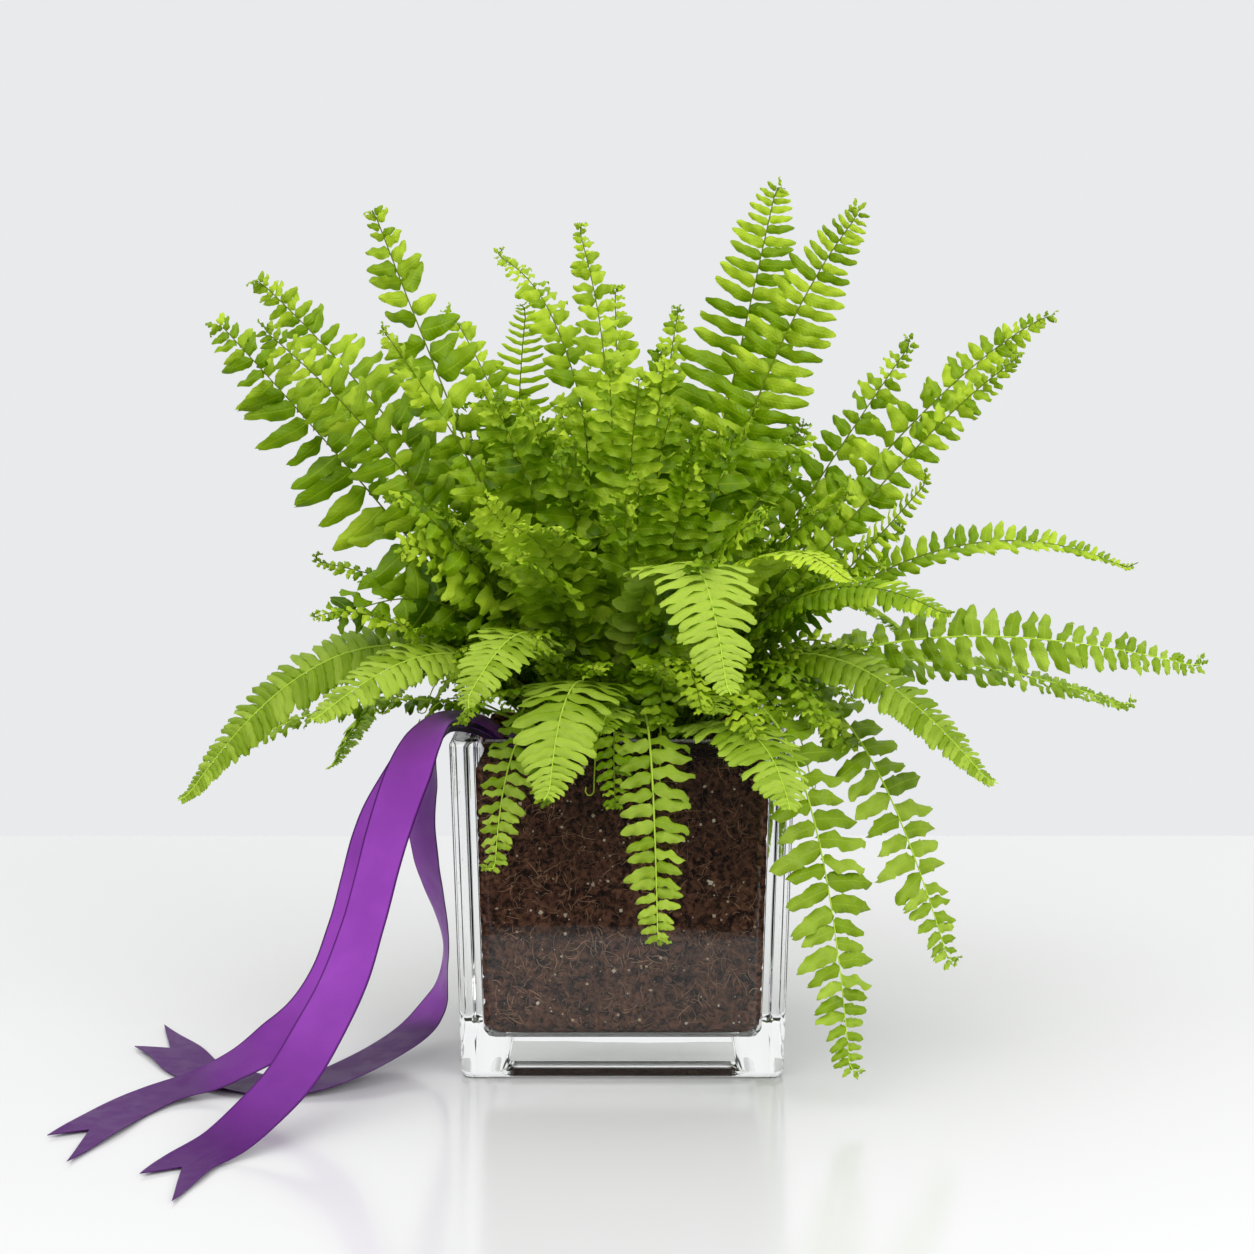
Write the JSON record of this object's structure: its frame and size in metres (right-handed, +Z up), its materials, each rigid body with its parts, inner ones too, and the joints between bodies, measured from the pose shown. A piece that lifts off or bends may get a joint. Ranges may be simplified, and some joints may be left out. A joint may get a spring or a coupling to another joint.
{
  "type": "potted fern",
  "caption": "Boston fern with arching fronds of small leaflets, planted in soil in a thick square glass vase, with satin ribbon tails over its rim.",
  "frame": {"origin": "middle of the vase's flat underside", "axes": "+Z up, the front that faces the viewer is -Y, +X to the viewer's right; the ribbon tails lie at -X"},
  "size_m": [0.4992, 0.4299, 0.392],
  "materials": {
    "glass": "polished clear glass",
    "soil": "loose dark peat and coir fibre, matt",
    "satin": "satin ribbon",
    "leaf": "soft semi-gloss leaf",
    "young_leaf": "soft semi-gloss young leaf"
  },
  "bodies": {
    "root": {"vase": "glass", "soil": "soil", "ribbon_knot": "satin", "ribbon_front": "satin", "ribbon_middle": "satin", "ribbon_back": "satin", "frond_front_far_drop": "young_leaf", "frond_front_drop": "young_leaf", "frond_front_left_bright": "young_leaf", "frond_front_left_drop": "young_leaf", "frond_front_right_drop": "young_leaf", "frond_right_drop": "young_leaf", "frond_front_big": "young_leaf", "frond_front_bright": "leaf", "frond_front_left_high": "young_leaf", "frond_rim_middle": "young_leaf", "frond_rim_right": "young_leaf", "frond_left_long": "young_leaf", "frond_left_bright": "young_leaf", "frond_left_low": "young_leaf", "frond_right_long": "young_leaf", "frond_right_low": "young_leaf", "frond_right_near": "young_leaf", "frond_right_arch": "leaf", "frond_right_front": "leaf", "frond_tall_left": "leaf", "frond_up_left_back": "leaf", "frond_up_left_front": "leaf", "frond_up_left_low": "leaf", "frond_left_small": "leaf", "frond_left_mid": "leaf", "frond_left_thin": "leaf", "frond_left_inner": "leaf", "frond_top_a": "leaf", "frond_top_b": "leaf", "frond_top_c": "leaf", "frond_top_comb": "leaf", "frond_top_d": "leaf", "frond_top_e": "leaf", "frond_top_right": "leaf", "frond_top_far_right": "leaf", "frond_up_right_back": "leaf", "frond_up_right": "leaf", "frond_up_right_front": "leaf", "frond_right_thin": "leaf", "frond_inner_a": "leaf", "frond_inner_b": "leaf", "frond_inner_c": "leaf", "frond_inner_d": "leaf", "frond_inner_e": "leaf", "frond_inner_f": "leaf", "frond_inner_g": "leaf", "frond_back_a": "young_leaf", "frond_back_b": "young_leaf", "frond_back_c": "leaf", "frond_back_d": "young_leaf", "frond_back_e": "young_leaf", "frond_back_f": "young_leaf", "frond_back_g": "leaf", "frond_back_h": "leaf"}
  },
  "joints": []
}
